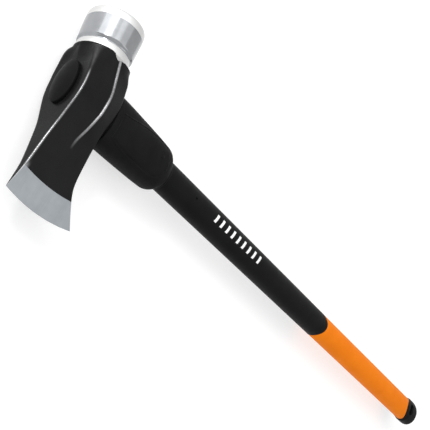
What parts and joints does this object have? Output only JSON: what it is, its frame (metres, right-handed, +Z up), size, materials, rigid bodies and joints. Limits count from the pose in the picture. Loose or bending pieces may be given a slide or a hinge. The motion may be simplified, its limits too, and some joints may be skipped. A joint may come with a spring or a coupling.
{
  "type": "splitting maul",
  "caption": "Splitting maul with a wedge head, round polished poll and oval eye cap, on a moulded handle with a shoulder sleeve, soft grip and butt knob.",
  "frame": {"origin": "under the middle of the whole tool, on the surface that it lies on", "axes": "+X towards the cutting edge, +Y from the head to the butt along the handle, +Z up through the cheeks of the head"},
  "size_m": [0.226, 0.914, 0.065],
  "materials": {
    "painted_steel": "satin black paint",
    "ground_steel": "ground across the edge",
    "polished_steel": "fine turned, nearly polished",
    "black_moulding": "fine moulded grain",
    "black_rubber": "soft matt",
    "grey_rubber": "soft matt",
    "glass_fibre": "drawn glass fibre",
    "orange_grip": "soft matt orange",
    "white_print": "plain printed bars"
  },
  "bodies": {
    "root": {"head_forging": "painted_steel", "eye_cap": "black_moulding", "eye_liner": "black_rubber", "haft_shell": "black_moulding", "damping_sleeve": "grey_rubber", "core_rod": "glass_fibre", "shoulder_sleeve": "black_rubber", "soft_grip": "orange_grip", "butt_knob": "black_moulding"}
  },
  "joints": []
}
